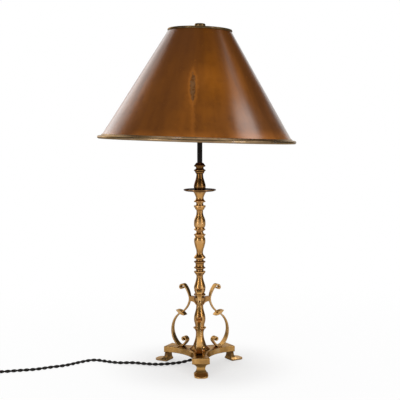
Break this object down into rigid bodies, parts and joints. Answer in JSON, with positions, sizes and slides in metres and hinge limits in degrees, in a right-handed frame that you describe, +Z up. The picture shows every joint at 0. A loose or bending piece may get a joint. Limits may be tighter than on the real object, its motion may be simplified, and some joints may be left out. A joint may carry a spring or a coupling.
{
  "type": "table lamp",
  "caption": "Turned brass table lamp on a three-armed footed base with scroll brackets and a drip pan, under a leaning conical copper shade, with bulb, harp and coiled flex.",
  "frame": {"origin": "on the table, under the axis of the column", "axes": "+Z up along the column, -Y towards the front foot, +X to the right as the lamp is seen from the front"},
  "size_m": [0.6946, 0.38, 0.6606],
  "materials": {
    "aged_brass": "worn lacquered brass, satin with brighter edges",
    "copper_sheet": "patinated copper-brown sheet, semi-gloss, stained",
    "black_tube": "black gloss",
    "plain_steel": "plain zinc",
    "contact_brass": "bright",
    "porcelain": "glazed white",
    "insulating_card": "waxed card",
    "dark_bakelite": "moulded, glossy",
    "soft_rubber": "matte",
    "clear_glass": "clear",
    "filament_wire": "thin drawn wire",
    "twisted_flex": "twisted two-core flex, braided cotton",
    "tie_band": "woven band"
  },
  "bodies": {
    "stand": {"base_plate": "aged_brass", "bracket_front": "aged_brass", "bracket_hub": "aged_brass", "bracket_left": "aged_brass", "bracket_right": "aged_brass", "bracket_rivets": "aged_brass", "bracket_screws": "plain_steel", "candle_vase": "aged_brass", "centre_contact": "contact_brass", "column_foot": "aged_brass", "cord_bush": "soft_rubber", "cord_coil": "twisted_flex", "cord_lead": "twisted_flex", "cord_tail": "twisted_flex", "cord_tie": "tie_band", "drip_pan": "aged_brass", "foot_front": "aged_brass", "foot_left": "aged_brass", "foot_right": "aged_brass", "harp_bow": "aged_brass", "harp_crown": "aged_brass", "harp_ferrules": "aged_brass", "harp_saddle": "aged_brass", "holder_insulator": "porcelain", "holder_liner": "insulating_card", "inverted_vase": "aged_brass", "lampholder_cap": "aged_brass", "lampholder_shell": "aged_brass", "lock_nut": "plain_steel", "lower_vase": "aged_brass", "middle_vase": "aged_brass", "pan_trumpet": "aged_brass", "plug_body": "dark_bakelite", "plug_pins": "contact_brass", "plug_sleeve": "soft_rubber", "ring_spool": "aged_brass", "screw_shell": "contact_brass", "stem_flex": "twisted_flex", "stem_nut": "plain_steel", "stem_tube": "black_tube", "stem_washer": "plain_steel", "top_collar": "aged_brass", "upper_vase": "aged_brass"},
    "shade": {"shade_cone": "copper_sheet", "shade_top_rim": "aged_brass", "shade_bottom_rim": "aged_brass", "shade_spider": "aged_brass"},
    "finial": {"finial": "aged_brass"},
    "switch": {"switch_key": "dark_bakelite"},
    "bulb": {"bulb_cap": "contact_brass", "bulb_contact": "contact_brass", "bulb_glass": "clear_glass", "bulb_stem": "clear_glass", "bulb_filament": "filament_wire"}
  },
  "joints": [
    {"name": "shade_turn", "type": "hinge", "parent": "stand", "child": "shade", "pos_m": [0, 0, 0.637], "axis": [0.0297, 0.0087, 0.9995], "continuous": true},
    {"name": "finial_turn", "type": "hinge", "parent": "stand", "child": "finial", "pos_m": [0, 0, 0.637], "axis": [0.0297, 0.0087, 0.9995], "continuous": true},
    {"name": "switch_turn", "type": "hinge", "parent": "stand", "child": "switch", "pos_m": [0, -0.0166, 0.4679], "axis": [0, -1, 0], "continuous": true},
    {"name": "bulb_turn", "type": "hinge", "parent": "stand", "child": "bulb", "pos_m": [0, 0, 0.4745], "axis": [0, 0, 1], "continuous": true}
  ]
}
